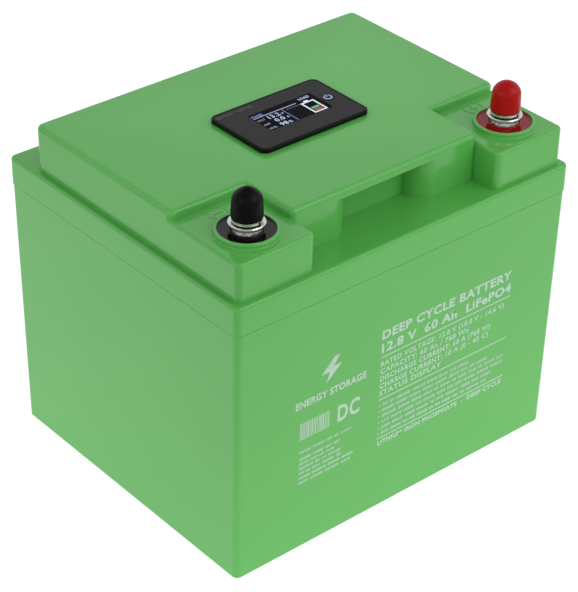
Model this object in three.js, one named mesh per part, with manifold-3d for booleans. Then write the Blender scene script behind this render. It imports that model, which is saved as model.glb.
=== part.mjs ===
// A 12.8 V deep cycle battery in a moulded box: a drafted case tub, a glued lid with a raised dome,
// two terminal blocks with capped studs, a snap-in status display, and inside it four prismatic
// cells in a strapped stack with links, pads, a management board, its heat sink and its cables.
// Millimetres, +Z up. The origin is the middle of the base, +X runs along the long side,
// and the two terminals and the front finger grip are at -Y.
import * as THREE from "three";
import { mergeVertices } from "three/addons/utils/BufferGeometryUtils.js";
import Module from "manifold-3d";

const wasm = await Module();
wasm.setup();

// ---- driving dimensions ----
const gap = 0.3; // between pieces that touch
const wall = 3; // moulded walls

// case tub and lid, outside
const halfX = 98.5; // over the lid skirt
const halfY = 83;
const step = 0.3; // the case stands in from the skirt
const draft = 1.3; // the case narrows towards its base, on each side
const seamZ = 132.2; // lower edge of the skirt
const flangeZ = 146.2; // flat ledge round the dome
const blockZ = 165; // tops of the terminal blocks
const domeZ = 169.3; // top of the dome
const cornerR = 3;
const domeCornerR = 3.4;
const lipReach = 6; // how far the lid's tongue drops into the tub

// dome and terminal blocks, in plan
const domeX = 95.4;
const domeBackY = 64.7;
const shoulderY = -35; // the dome's front wall behind the terminals
const noseX = 55; // the dome's nose between the blocks
const noseY = -65.5;
const blockX = 53.5; // inner side of a block
const blockY = -80; // its front

// finger grips, one in the nose and one in the back wall
const gripX = 19.4;
const gripDepth = 11.2; // also the radius of the grip's rounded ends
const gripRoof = 165;

// terminals
const postX = 75.7;
const postY = -61.3;
const collarZ = 167.5;
const wellR = 12.85;
const wellZ = 158.7; // floor of the resin well, inside
const wellUnder = 156; // and its underside
const studR = 4; // M8
const studFoot = 145;
const studTop = 184;
const shoulderTop = 169;
const capBottom = 173;
const capTop = 187.1;

// display, cut through the dome's top
const face = { x0: -33.6, x1: 29.4, y0: -21.9, y1: 17.9, top: 171.8 };
const screen = { x0: -19.3, x1: 17.5, y0: -9.5, y1: 7.4 };
const button = { x: 21.5, y: -1.1, r: 3.2 };
const faceInset = 3; // from the bezel's edge to the part that drops through the lid
const housingWall = 1.2;
const housingFoot = 158;
const displayBoardZ = 160.5;
const displayBoardTop = 162.1;
const boardInset = faceInset + 1.5;
const switchHalf = 2.6; // half a side of the switch under the button
const buttonFoot = 164.2;
const screenFoot = 166.8;

// cell stack
const cell = { thick: 36, wide: 130, z0: 6.3, z1: 124.3 };
const pitch = 38;
const padTop = 127; // cell terminals
const linkZ = padTop + gap;
const linkThick = 2;
const cellX = [0, 1, 2, 3].map((i) => (i - 1.5) * pitch);
const terminalY = 45;
const stackX = 1.5 * pitch + cell.thick / 2;
const plateThick = 3;

// management board and its tray
const sheetZ = 130.3; // insulation sheet over the links
const trayZ = 137;
const boardZ = 141;
const boardTop = 142.6;
const boardX = 50;
const boardY = 40;
const cableR = 3.2;
const tapTop = 135;

// ---- geometry helpers ----
function outline(x0, x1, y0, y1, r) {
  const shape = new THREE.Shape();
  shape.moveTo(x0 + r, y0);
  shape.lineTo(x1 - r, y0);
  shape.absarc(x1 - r, y0 + r, r, -Math.PI / 2, 0);
  shape.lineTo(x1, y1 - r);
  shape.absarc(x1 - r, y1 - r, r, 0, Math.PI / 2);
  shape.lineTo(x0 + r, y1);
  shape.absarc(x0 + r, y1 - r, r, Math.PI / 2, Math.PI);
  shape.lineTo(x0, y0 + r);
  shape.absarc(x0 + r, y0 + r, r, Math.PI, 1.5 * Math.PI);
  return shape;
}

// A shape raised from z0 to z1, with the edges of both ends bevelled.
function prism(shape, z0, z1, bevel = 0, curveSegments = 3) {
  return new THREE.ExtrudeGeometry(shape, {
    depth: z1 - z0 - 2 * bevel,
    bevelEnabled: bevel > 0,
    bevelThickness: bevel,
    bevelSize: bevel,
    bevelOffset: -bevel,
    bevelSegments: 2,
    curveSegments,
  }).translate(0, 0, z0 + bevel);
}

const block = (x0, x1, y0, y1, z0, z1) =>
  new THREE.BoxGeometry(x1 - x0, y1 - y0, z1 - z0).translate((x0 + x1) / 2, (y0 + y1) / 2, (z0 + z1) / 2);

// A profile of [radius, height] points turned about an upright axis, from its lowest point out and up.
function turned(profile, x = 0, y = 0, segments = 20) {
  const points = profile.map(([r, z]) => new THREE.Vector2(r, z));
  return new THREE.LatheGeometry(points, segments).rotateX(Math.PI / 2).translate(x, y, 0);
}

const disc = (r, z0, z1, x = 0, y = 0, segments = 20) =>
  turned([[0, z0], [r, z0], [r, z1], [0, z1]], x, y, segments);

const washer = (r0, r1, z0, z1, x, y) =>
  turned([[r0, z0], [r1, z0], [r1, z1], [r0, z1], [r0, z0]], x, y, 24);

// The walls lean in towards the base: each quarter moves as one.
function drafted(geometry, zTop) {
  const p = geometry.attributes.position;
  for (let i = 0; i < p.count; i++) {
    const inset = (draft * (zTop - p.getZ(i))) / zTop;
    p.setX(i, p.getX(i) - Math.sign(p.getX(i)) * inset);
    p.setY(i, p.getY(i) - Math.sign(p.getY(i)) * inset);
  }
  return geometry;
}

function solid(geometry) {
  if (geometry instanceof wasm.Manifold) return geometry;
  const bare = new THREE.BufferGeometry().setAttribute("position", geometry.attributes.position);
  bare.setIndex(geometry.index);
  const merged = mergeVertices(bare, 1e-4);
  return new wasm.Manifold(
    new wasm.Mesh({
      numProp: 3,
      vertProperties: merged.attributes.position.array,
      triVerts: new Uint32Array(merged.index.array),
    }),
  );
}
const joined = (...pieces) => pieces.map(solid).reduce((a, b) => a.add(b));
const cut = (base, ...tools) => tools.map(solid).reduce((a, b) => a.subtract(b), solid(base));

function plain(shape) {
  if (!(shape instanceof wasm.Manifold)) return shape;
  const mesh = shape.getMesh();
  const geometry = new THREE.BufferGeometry();
  geometry.setAttribute("position", new THREE.BufferAttribute(mesh.vertProperties, 3));
  geometry.setIndex(new THREE.BufferAttribute(mesh.triVerts, 1));
  return geometry.toNonIndexed();
}

// A section swept along a smooth route.
function swept(section, route, steps) {
  const path = new THREE.CatmullRomCurve3(route.map((p) => new THREE.Vector3(...p)), false, "centripetal");
  return new THREE.ExtrudeGeometry(section, { steps, extrudePath: path, bevelEnabled: false, curveSegments: 2 });
}
const round = (r) => new THREE.Shape().absarc(0, 0, r, 0, 2 * Math.PI);

// ---- finishes ----
const finish = (color, roughness, metalness = 0) => ({ color, roughness, metalness });
const finishes = {
  case_plastic: finish(0x5fae55, 0.4),
  black_plastic: finish(0x161616, 0.45),
  black_face: finish(0x2b2a29, 0.3),
  screen_glass: finish(0x05060c, 0.1),
  black_resin: finish(0x0c0c0d, 0.12),
  red_resin: finish(0x8d1220, 0.12),
  black_rubber: finish(0x101012, 0.5),
  red_rubber: finish(0xc01018, 0.4),
  plated: finish(0xc9c9c6, 0.25, 1),
  steel: finish(0xa8abad, 0.35, 1),
  aluminium: finish(0xc4c6c8, 0.4, 1),
  cell_film: finish(0x1f4f9a, 0.35, 0.2),
  foam: finish(0x25262a, 0.95),
  fibre_board: finish(0xc7cf9a, 0.7),
  circuit_board: finish(0x17492c, 0.5),
  sealant: finish(0x30343a, 0.6),
};

const battery = new THREE.Group();
function add(name, shape, finishName) {
  const mesh = new THREE.Mesh(plain(shape), new THREE.MeshStandardMaterial(finishes[finishName]));
  mesh.name = name;
  battery.add(mesh);
}

// ---- case and lid ----
const rim = { out: halfX - step, outY: halfY - step, thick: 3.5 };

function caseTub() {
  const { out, outY, thick } = rim;
  const top = seamZ - gap;
  const outside = drafted(prism(outline(-out, out, -outY, outY, cornerR), 0, seamZ + 8, 1.2), seamZ);
  const inside = prism(outline(thick - out, out - thick, thick - outY, outY - thick, 2), wall, seamZ + 12);
  const groove = cut(
    prism(outline(1 - out, out - 1, 1 - outY, outY - 1, 3), top - 1.6, seamZ + 1),
    prism(outline(2.5 - out, out - 2.5, 2.5 - outY, outY - 2.5, 2), top - 3, seamZ + 2),
  );
  return cut(outside, drafted(inside, seamZ), block(-halfX, halfX, -halfY, halfY, top, seamZ + 20), groove);
}

const sealBead = () =>
  cut(
    prism(outline(1.3 - rim.out, rim.out - 1.3, 1.3 - rim.outY, rim.outY - 1.3, 2.7), seamZ - 1.6, seamZ - gap),
    prism(outline(2.2 - rim.out, rim.out - 2.2, 2.2 - rim.outY, rim.outY - 2.2, 2.1), seamZ - 3, seamZ),
  );

// The grip seen from above: rounded ends flare out to the wall that it is cut in.
function gripPlan(wallY, inward) {
  const end = gripX + gripDepth;
  const inner = wallY + inward * gripDepth;
  const shape = new THREE.Shape();
  shape.moveTo(-end, wallY - inward * 2);
  shape.lineTo(-end, wallY);
  shape.absarc(-end, inner, gripDepth, (-inward * Math.PI) / 2, 0, inward < 0);
  shape.absarc(end, inner, gripDepth, Math.PI, (-inward * Math.PI) / 2, inward < 0);
  shape.lineTo(end, wallY - inward * 2);
  return shape;
}

function lidCover() {
  const skirt = prism(outline(-halfX, halfX, -halfY, halfY, cornerR), seamZ, flangeZ, 0.8);
  const dome = prism(outline(-domeX, domeX, shoulderY, domeBackY, domeCornerR), flangeZ - 6, domeZ, 2.5);
  const nose = prism(outline(-noseX, noseX, noseY, shoulderY + 20, domeCornerR), flangeZ - 6, domeZ, 2.5);
  const blocks = [-1, 1].map((side) => {
    const [x0, x1] = [side * blockX, side * domeX].sort((a, b) => a - b);
    return prism(outline(x0, x1, blockY, shoulderY + 8, 3), flangeZ - 6, blockZ, 1.5);
  });
  const outside = joined(skirt, dome, nose, ...blocks);

  const hollows = [
    block(-halfX + 3.2, halfX - 3.2, -halfY + 3.2, halfY - 3.2, seamZ - 2, flangeZ - wall),
    block(-domeX + wall, domeX - wall, shoulderY + wall, domeBackY - wall, flangeZ - 8, domeZ - wall),
    block(-noseX + wall, noseX - wall, noseY + wall, shoulderY + 15, flangeZ - 8, domeZ - wall),
    ...[-1, 1].map((side) => {
      const [x0, x1] = [side * (blockX + wall), side * (domeX - wall)].sort((a, b) => a - b);
      return block(x0, x1, blockY + wall, shoulderY + 8, flangeZ - 8, blockZ - wall);
    }),
  ];
  const bossX = gripX + gripDepth + wall;
  const gripBosses = [
    block(-bossX, bossX, noseY - 1, noseY + gripDepth + wall, flangeZ - wall, domeZ - 1),
    block(-bossX, bossX, domeBackY - gripDepth - wall, domeBackY + 1, flangeZ - wall, domeZ - 1),
  ];
  const inside = cut(joined(...hollows), ...gripBosses);

  // the tongue that drops inside the tub's rim
  const tongue = rim.thick + gap;
  const [tongueX, tongueY] = [rim.out - tongue, rim.outY - tongue];
  const lip = cut(
    joined(
      prism(outline(-tongueX, tongueX, -tongueY, tongueY, 2), seamZ - lipReach, seamZ + 3),
      prism(outline(-halfX + 1, halfX - 1, -halfY + 1, halfY - 1, 3), seamZ + 0.8, seamZ + 3),
    ),
    block(-tongueX + 2, tongueX - 2, -tongueY + 2, tongueY - 2, seamZ - 8, seamZ + 5),
  );

  const collars = [-1, 1].map((side) =>
    turned(
      [[0, wellUnder], [15.6, wellUnder], [15.6, blockZ - 2], [15, blockZ + 0.4], [14.6, collarZ - 0.9],
        [13.9, collarZ], [0, collarZ]],
      side * postX, postY, 24),
  );
  const wells = [-1, 1].map((side) => disc(wellR, wellZ, collarZ + 1, side * postX, postY, 24));
  const studHoles = [-1, 1].map((side) => disc(studR + 0.6, wellUnder - 1, wellZ + 1, side * postX, postY));
  const slot = displaySlot(gap);
  return cut(
    joined(cut(outside, inside), lip, ...collars),
    ...wells,
    ...studHoles,
    prism(gripPlan(noseY, 1), flangeZ, gripRoof, 0, 6),
    prism(gripPlan(domeBackY, -1), flangeZ, gripRoof, 0, 6),
    block(slot.x0, slot.x1, slot.y0, slot.y1, domeZ - wall - 1, domeZ + 1),
  );
}

// ---- terminals ----
const wellGap = 0.3;

const terminalPost = (x) =>
  turned(
    [[0, studFoot], [studR, studFoot], [studR, wellZ + gap], [9, wellZ + gap], [9, wellZ + 2.8], [6.3, wellZ + 2.8],
      [6.3, shoulderTop - 0.6], [5.7, shoulderTop], [studR, shoulderTop], [studR, studTop - 0.8],
      [studR - 0.8, studTop], [0, studTop]],
    x, postY, 16);

const resinDisc = (x) =>
  turned(
    [[9.3, wellZ + gap], [wellR - wellGap, wellZ + gap], [wellR - wellGap, collarZ - 0.8], [6.6, collarZ - 0.8],
      [6.6, wellZ + 3.1], [9.3, wellZ + 3.1], [9.3, wellZ + gap]],
    x, postY, 24);

const flatWasher = (x) =>
  turned(
    [[4.2, 169.3], [7.9, 169.3], [8.2, 169.6], [8.2, 170.6], [7.9, 170.9], [4.2, 170.9], [4.2, 169.3]],
    x, postY, 20);

function springWasher(x) {
  const opening = 0.12; // half the slit's angle
  const ring = new THREE.Shape();
  ring.absarc(0, 0, 6.7, opening, 2 * Math.PI - opening);
  ring.absarc(0, 0, 4.3, 2 * Math.PI - opening, opening, true);
  return prism(ring, 171.2, 172.7, 0, 16).translate(x, postY, 0);
}

function terminalCap(x) {
  const domeR = 6.45;
  const domeCentre = capTop - domeR;
  const arc = [0, 1, 2, 3, 4, 5].map((i) => {
    const a = (i * Math.PI) / 12;
    return [domeR * Math.cos(a), domeCentre + domeR * Math.sin(a)];
  });
  return turned(
    [[0, studTop + gap], [studR + 0.3, studTop + gap], [studR + 0.3, capBottom], [7.05, capBottom],
      [6.75, domeCentre], ...arc, [0, capTop]],
    x, postY, 24);
}

function hexNut(x) {
  const hexR = 13 / Math.sqrt(3);
  return cut(disc(hexR, 147, 153.4, x, postY, 6), disc(studR + 0.3, 146, 154, x, postY));
}

// A ring with a tongue and a barrel that holds the cable's end, pointing along +Y.
function ringLug(x, y, z, hole, reach) {
  const thick = 1.8;
  const barrel = new THREE.CylinderGeometry(3.8, 3.8, 9, 14).translate(x, y + reach + 4.5, z + thick / 2);
  return cut(
    joined(disc(7.5, z, z + thick, x, y), block(x - 4.5, x + 4.5, y, y + reach + 1, z, z + thick), barrel),
    disc(hole, z - 1, z + thick + 1, x, y),
  );
}

// ---- display ----
function displaySlot(clearance) {
  const inset = faceInset - clearance;
  return { x0: face.x0 + inset, x1: face.x1 - inset, y0: face.y0 + inset, y1: face.y1 - inset };
}

function displayHousing() {
  const box = displaySlot(0);
  const rimWide = housingWall;
  const flange = prism(outline(face.x0, face.x1, face.y0, face.y1, 3.6), domeZ + gap, face.top, 0.5, 4);
  return cut(
    joined(flange, block(box.x0, box.x1, box.y0, box.y1, housingFoot, domeZ + 1)),
    block(box.x0 + rimWide, box.x1 - rimWide, box.y0 + rimWide, box.y1 - rimWide, housingFoot - 1, domeZ + gap),
    prism(
      outline(face.x0 + rimWide, face.x1 - rimWide, face.y0 + rimWide, face.y1 - rimWide, 2.6),
      face.top - 0.9, face.top + 1,
    ),
    block(screen.x0 - 1, screen.x1 + 1, screen.y0 - 1, screen.y1 + 1, domeZ, face.top),
    disc(button.r + gap, domeZ, face.top, button.x, button.y),
  );
}

const displayWindow = () =>
  cut(
    prism(outline(face.x0 + 1.5, face.x1 - 1.5, face.y0 + 1.5, face.y1 - 1.5, 2.3), face.top - 0.6, face.top),
    disc(button.r + gap, face.top - 1, face.top + 1, button.x, button.y),
  );

const powerButton = () =>
  turned([[0, buttonFoot], [1.5, buttonFoot], [1.5, 168], [button.r, 168], [button.r, face.top + 0.1], [0, face.top + 0.1]],
    button.x, button.y);

const lcdPanel = () =>
  block(screen.x0 - 0.7, screen.x1 + 0.7, screen.y0 - 0.7, screen.y1 + 0.7, screenFoot, face.top - 1.3);

const displayBoard = () =>
  joined(
    block(
      face.x0 + boardInset, face.x1 - boardInset, face.y0 + boardInset, face.y1 - boardInset,
      displayBoardZ, displayBoardTop,
    ),
    block(
      button.x - switchHalf, button.x + switchHalf, button.y - switchHalf, button.y + switchHalf,
      displayBoardTop - 0.1, buttonFoot - 0.8,
    ),
    block(screen.x0 + 2, screen.x1 - 2, screen.y0 + 2, screen.y1 - 2, displayBoardTop - 0.1, screenFoot - gap),
  );

// ---- cell stack ----
function prismaticCell(x) {
  const half = cell.thick / 2;
  const can = prism(outline(x - half, x + half, -cell.wide / 2, cell.wide / 2, 2.5), cell.z0, cell.z1);
  const pads = [-1, 1].map((side) =>
    block(x - 10, x + 10, side * terminalY - 8, side * terminalY + 8, cell.z1 - 1, padTop),
  );
  return joined(can, ...pads, disc(7, cell.z1 - 1, cell.z1 + 0.5, x, 0));
}

const separator = (x) => block(x - 0.7, x + 0.7, -63, 63, 8, 122);

const endPlate = (side) => {
  const [x0, x1] = [side * (stackX + gap), side * (stackX + gap + plateThick)].sort((a, b) => a - b);
  return block(x0, x1, -64, 64, 8, 122);
};

function steelBand(z0) {
  const x = stackX + plateThick + 2 * gap;
  const y = cell.wide / 2 + gap;
  const thick = 0.8;
  return cut(
    prism(outline(-x - thick, x + thick, -y - thick, y + thick, 2.6), z0, z0 + 16),
    prism(outline(-x, x, -y, y, 1.8), z0 - 1, z0 + 17),
  );
}

// A flat bar between two cells with a raised bend in the middle that takes up their movement.
function seriesLink(x, side) {
  const reach = pitch / 2 + 9;
  const bend = 3.2;
  const bar = new THREE.Shape();
  bar.moveTo(-reach, 0);
  bar.lineTo(-bend, 0);
  bar.absarc(0, 0, bend, Math.PI, 0, true);
  bar.lineTo(reach, 0);
  bar.lineTo(reach, linkThick);
  bar.lineTo(bend + linkThick, linkThick);
  bar.absarc(0, linkThick, bend + linkThick, 0, Math.PI);
  bar.lineTo(-reach, linkThick);
  return new THREE.ExtrudeGeometry(bar, { depth: 16, bevelEnabled: false, curveSegments: 6 })
    .rotateX(Math.PI / 2)
    .translate(x, side * terminalY + 8, linkZ);
}

const packTap = (x) =>
  cut(
    joined(
      block(x - 9, x + 9, -terminalY - 8, -terminalY + 8, linkZ, linkZ + linkThick),
      disc(6.5, linkZ + 1, tapTop, x, -terminalY),
    ),
    disc(3.3, linkZ + 0.5, tapTop + 1, x, -terminalY),
  );

const tapScrew = (x) =>
  joined(disc(3, linkZ + 0.8, tapTop + 3, x, -terminalY, 14), disc(5.77, tapTop + 2.4, tapTop + 6.4, x, -terminalY, 6));

// ---- management board ----
function boardTray() {
  const spots = [-1, 1].flatMap((i) => [-1, 1].map((j) => [i * 44, j * 34]));
  return joined(
    prism(outline(-47, 47, -43, 43, 4), trayZ, trayZ + 2),
    ...spots.map(([x, y]) => disc(3.5, sheetZ + 1.5 + gap, trayZ + 1, x, y, 8)),
    ...spots.map(([x, y]) => disc(2.6, trayZ + 1, boardZ - gap, x, y, 8)),
  );
}

function managementBoard() {
  const switches = [-1, 1].flatMap((row) =>
    [0, 1, 2, 3, 4, 5].map((i) => {
      const x = (i - 2.5) * 13;
      return block(x - 5, x + 5, row * 12 - 4.5, row * 12 + 4.5, boardTop - 0.5, boardTop + 2.3);
    }),
  );
  const cablePads = [-6, 14].map((y) => block(-boardX, -boardX + 6, y - 5, y + 5, boardTop - 0.5, boardTop + 6));
  return joined(block(-boardX, boardX, -boardY, boardY, boardZ, boardTop), ...switches, ...cablePads);
}

function heatSink() {
  const [half, base, top, fins] = [20, 2.2, 8, 7];
  const comb = new THREE.Shape();
  comb.moveTo(-half, 0);
  comb.lineTo(half, 0);
  for (let i = fins - 1; i >= 0; i--) {
    const y = -half + 1 + (i * (2 * half - 2)) / (fins - 1);
    comb.lineTo(y + 1, base);
    comb.lineTo(y + 0.8, top);
    comb.lineTo(y - 0.8, top);
    comb.lineTo(y - 1, base);
  }
  return new THREE.ExtrudeGeometry(comb, { depth: 82, bevelEnabled: false })
    .rotateX(Math.PI / 2)
    .rotateZ(Math.PI / 2)
    .translate(-41, 0, boardTop + 2.6);
}

const balanceSocket = () =>
  cut(block(37, 51 - gap - 1, 26, 33, boardTop + gap, 149), block(38, 48.7, 28, 34, 144, 147.8));

// ---- assembly ----
add("case_tub", caseTub(), "case_plastic");
add("lid_cover", lidCover(), "case_plastic");
add("lid_seal", sealBead(), "sealant");

for (const [name, side] of [["negative", -1], ["positive", 1]]) {
  const x = side * postX;
  const colour = side < 0 ? "black" : "red";
  add(name + "_post", terminalPost(x), "plated");
  add(name + "_post_seal", resinDisc(x), colour + "_resin");
  add(name + "_flat_washer", flatWasher(x), "plated");
  add(name + "_spring_washer", springWasher(x), "plated");
  add(name + "_cap", terminalCap(x), colour + "_rubber");
  add(name + "_post_lug", ringLug(x, postY, 153.9, studR + 0.4, 17.5), "plated");
  add(name + "_post_nut", hexNut(x), "steel");
}

add("display_housing", displayHousing(), "black_plastic");
add("display_window", displayWindow(), "black_face");
add("power_button", powerButton(), "black_face");
add("lcd_panel", lcdPanel(), "screen_glass");
add("display_board", displayBoard(), "circuit_board");

add("bottom_pad", prism(outline(-90, 90, -74, 74, 3), wall + gap, cell.z0 - gap), "foam");
for (const [name, side] of [["left_pad", -1], ["right_pad", 1]]) {
  const [x0, x1] = [side * 80, side * 92.6].sort((a, b) => a - b);
  add(name, block(x0, x1, -60, 60, cell.z0, 115), "foam");
}
for (const [name, side] of [["front_pad", -1], ["back_pad", 1]]) {
  const [y0, y1] = [side * 66.6, side * 77.2].sort((a, b) => a - b);
  add(name, block(-70, 70, y0, y1, cell.z0, 115), "foam");
}

cellX.forEach((x, i) => add("cell_" + (i + 1), prismaticCell(x), "cell_film"));
[-1, 0, 1].forEach((i) => add("cell_separator_" + (i + 2), separator(i * pitch), "fibre_board"));
add("left_end_plate", endPlate(-1), "aluminium");
add("right_end_plate", endPlate(1), "aluminium");
add("lower_band", steelBand(30), "steel");
add("upper_band", steelBand(88), "steel");
[-1, 0, 1].forEach((i) => add("series_link_" + (i + 2), seriesLink(i * pitch, i === 0 ? -1 : 1), "aluminium"));
for (const [name, x] of [["negative", cellX[0]], ["positive", cellX[3]]]) {
  add(name + "_tap", packTap(x), "aluminium");
  add(name + "_tap_screw", tapScrew(x), "steel");
  add(name + "_tap_lug", ringLug(x, -terminalY, tapTop + gap, 3.4, 9.5), "plated");
}

add("insulation_sheet", cut(block(-74, 74, -34, 56, sheetZ, sheetZ + 1.5),
  ...[-1, 1].map((i) => block(i * pitch - 6, i * pitch + 6, 36, 57, sheetZ - 1, sheetZ + 3))), "fibre_board");
add("board_tray", boardTray(), "black_plastic");
add("management_board", managementBoard(), "circuit_board");
add("heat_sink", heatSink(), "aluminium");
add("balance_socket", balanceSocket(), "black_plastic");

// cables: their ends meet lug barrels and board pads face to face
const tapLevel = tapTop + gap + 0.9;
const padLevel = boardTop + 3.2;
const postLevel = 154.8;
const barrelEndY = postY + 17.5 + 9 + gap;
const tapEndY = -terminalY + 9.5 + 9 + gap;
add("negative_cell_cable", swept(round(cableR), [
  [cellX[0], tapEndY, tapLevel], [cellX[0] - 1, -14, tapLevel], [cellX[0] - 3, 2, 139],
  [-60, 12, 144], [-55, 14, padLevel], [-boardX - gap, 14, padLevel]], 18), "black_rubber");
add("negative_post_cable", swept(round(cableR), [
  [-postX, barrelEndY, postLevel], [-postX, -22, postLevel - 1], [-71, -11, 150],
  [-61, -6, padLevel + 0.5], [-boardX - gap, -6, padLevel]], 18), "black_rubber");
add("positive_cable", swept(round(cableR), [
  [cellX[3], tapEndY, tapLevel], [cellX[3], -14, tapLevel + 0.5], [60, -2, 139], [68, 5, 146],
  [75, 0, 152], [postX, -12, postLevel], [postX, barrelEndY, postLevel]], 24), "red_rubber");

function ribbon(width, thick) {
  const corners = [[-1, -1], [1, -1], [1, 1], [-1, 1]];
  return new THREE.Shape(corners.map(([i, j]) => new THREE.Vector2((i * width) / 2, (j * thick) / 2)));
}
add("balance_harness", swept(ribbon(9, 1.2), [
  [43.3, 34.4, 145.9], [43.3, 48, 146.4], [43.3, 57, 142], [43.3, 59, 134], [43.3, 59, 125]], 16), "black_rubber");
add("display_cable", swept(ribbon(8, 1), [
  [10, -2, 159.4], [22, -2, 157], [36, -2, 157], [45, -2, 152], [46.5, -2, 143.3]], 16), "black_rubber");
add("temperature_probe", swept(round(1.2), [
  [-34, -40, 126], [-34, -48, 127], [-34, -51, 132], [-34, -49, 140], [-34, -43, 144.4], [-34, -37, 144.4]],
  18), "black_rubber");

export default battery;
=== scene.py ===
"""Deep cycle battery: the finished case, terminals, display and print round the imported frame."""

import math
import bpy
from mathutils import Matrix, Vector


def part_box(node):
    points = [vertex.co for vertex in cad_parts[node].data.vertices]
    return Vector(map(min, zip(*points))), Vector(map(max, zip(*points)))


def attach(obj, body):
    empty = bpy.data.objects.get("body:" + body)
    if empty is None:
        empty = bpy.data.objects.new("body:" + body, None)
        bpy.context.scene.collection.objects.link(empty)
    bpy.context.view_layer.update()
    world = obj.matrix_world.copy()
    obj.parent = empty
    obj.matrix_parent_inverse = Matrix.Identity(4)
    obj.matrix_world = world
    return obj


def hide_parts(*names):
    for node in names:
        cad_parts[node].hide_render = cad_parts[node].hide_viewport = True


bl_info = {
    "name": "Deep Cycle Battery",
    "version": (1, 0, 0),
    "blender": (4, 5, 0),
    "location": "View3D > Sidebar > Battery",
    "description": "Builds the finished shells, terminals, display and print of a deep cycle battery",
    "category": "Object",
}

import bmesh
import bpy
from bpy.props import FloatProperty, FloatVectorProperty, PointerProperty, StringProperty
from mathutils import Matrix, Vector
from mathutils.noise import random as draw_random, seed_set

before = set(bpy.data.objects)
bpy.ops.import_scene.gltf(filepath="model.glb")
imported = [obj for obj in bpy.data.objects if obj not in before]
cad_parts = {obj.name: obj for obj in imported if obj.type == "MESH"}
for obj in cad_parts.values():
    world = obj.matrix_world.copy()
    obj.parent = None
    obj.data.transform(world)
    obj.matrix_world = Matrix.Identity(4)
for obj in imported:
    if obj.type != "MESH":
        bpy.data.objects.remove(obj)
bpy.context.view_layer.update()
MM = 0.001
CLEAR = MM  # how far a cutting tool reaches past what it cuts
SIDES = (("negative", -1), ("positive", 1))


def size(name, default, description):
    return FloatProperty(name=name, description=description, default=default, unit="LENGTH", precision=5)


def number(name, default, description):
    return FloatProperty(name=name, description=description, default=default)


def wording(name, default, description):
    return StringProperty(name=name, description=description, default=default)


def angle(name, degrees, description):
    return FloatProperty(name=name, description=description, default=math.radians(degrees), subtype="ANGLE")


def colour(name, default, description):
    return FloatVectorProperty(
        name=name, description=description, default=default, subtype="COLOR", size=3, min=0, max=1
    )


def middle(node):
    low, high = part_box(node)
    return (low + high) / 2


# ---- sizes and colours -------------------------------------------------------------------------


class ShellSizes(bpy.types.PropertyGroup):
    wall: size("Wall", 0.003, "Thickness of the moulded walls")
    draft: size("Draft", 0.0013, "How far the tub narrows to its base on each side")
    corner: size("Corner", 0.003, "Radius of the upright corners")
    base_edge: size("Base edge", 0.0009, "Radius of the edge round the base")
    seam_gap: size("Seam", 0.0003, "Gap between the tub and the lid's skirt")
    seam_edge: size("Seam edge", 0.00025, "Softening of the two edges that meet at the seam")
    ledge: size("Ledge height", 0.1462, "Height of the flat ledge round the dome")
    ledge_edge: size("Ledge edge", 0.0015, "Radius of the ledge's outer edge")
    dome_half: size("Dome half width", 0.0954, "Half the dome's width along X")
    dome_back: size("Dome back", 0.0647, "Where the dome's back wall stands")
    shoulder: size("Shoulder", -0.035, "Where the dome's wall behind the terminals stands")
    nose_half: size("Nose half width", 0.055, "Half the width of the nose between the blocks")
    nose_front: size("Nose front", -0.0655, "Where the nose's front wall stands")
    dome_corner: size("Dome corner", 0.0034, "Radius of the dome's upright corners")
    dome_edge: size("Dome edge", 0.0024, "Radius of the dome's upper edge")
    block_top: size("Block top", 0.165, "Height of the terminal blocks")
    block_inner: size("Block inner side", 0.0535, "Where a block's inner side stands")
    block_front: size("Block front", -0.080, "Where a block's front stands")
    block_corner: size("Block corner", 0.003, "Radius of a block's upright corners")
    block_edge: size("Block edge", 0.0014, "Radius of a block's upper edge")
    grip_half: size("Grip half width", 0.0194, "Half the width of a grip's inner wall")
    grip_depth: size("Grip depth", 0.0112, "Depth of a grip and radius of its rounded ends")


class TerminalSizes(bpy.types.PropertyGroup):
    collar: size("Collar", 0.0143, "Radius of the collar's wall")
    collar_height: size("Collar height", 0.0025, "How far the collar stands up")
    well: size("Well", 0.01275, "Radius of the resin well")
    resin_top: size("Resin top", 0.1664, "Height of the poured resin")
    bushing: size("Bushing", 0.0070, "Radius of the cast bushing where the resin meets it")
    bushing_top: size("Bushing top", 0.0062, "Radius of the cast bushing under the washers")
    stud: size("Stud", 0.004, "Radius of the threaded stud")
    pitch: size("Thread pitch", 0.00125, "Distance from one thread crest to the next")
    cap_bore: size("Cap bore", 0.0046, "Radius of the hole up a cap")
    cap_foot: size("Cap foot", 0.00705, "Radius of a cap at its open end")
    cap_waist: size("Cap waist", 0.00672, "Radius of a cap where its round end starts")
    lean: angle("Lean", 0.8, "How far a cap leans over")
    mark: size("Polarity mark", 0.0047, "Radius of the raised ring behind a terminal")


class DisplaySizes(bpy.types.PropertyGroup):
    corner: size("Corner", 0.0038, "Radius of the bezel's corners")
    edge: size("Edge", 0.0007, "Bevel round the bezel")
    rim: size("Rim", 0.00125, "Width of the bezel round the face film")
    drop: size("Drop", 0.003, "From the bezel's edge to the part that drops through the lid")
    glass: size("Glass", 0.0007, "How far the screen reaches under the face film")
    play: size("Play", 0.00005, "Gap round the face film and round the screen's glass")
    line: size("Screen mark", 0.00003, "Height of the lit marks over the screen")


class PrintSizes(bpy.types.PropertyGroup):
    ink: size("Ink", 0.00004, "Thickness of the printed ink")
    heading: wording("Heading", "DEEP CYCLE BATTERY", "First printed line")
    rating: wording("Rating", "12.8 V  60 Ah  LiFePO4", "Second printed line")
    maker: wording("Maker", "ENERGY STORAGE", "Line under the emblem")


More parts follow.
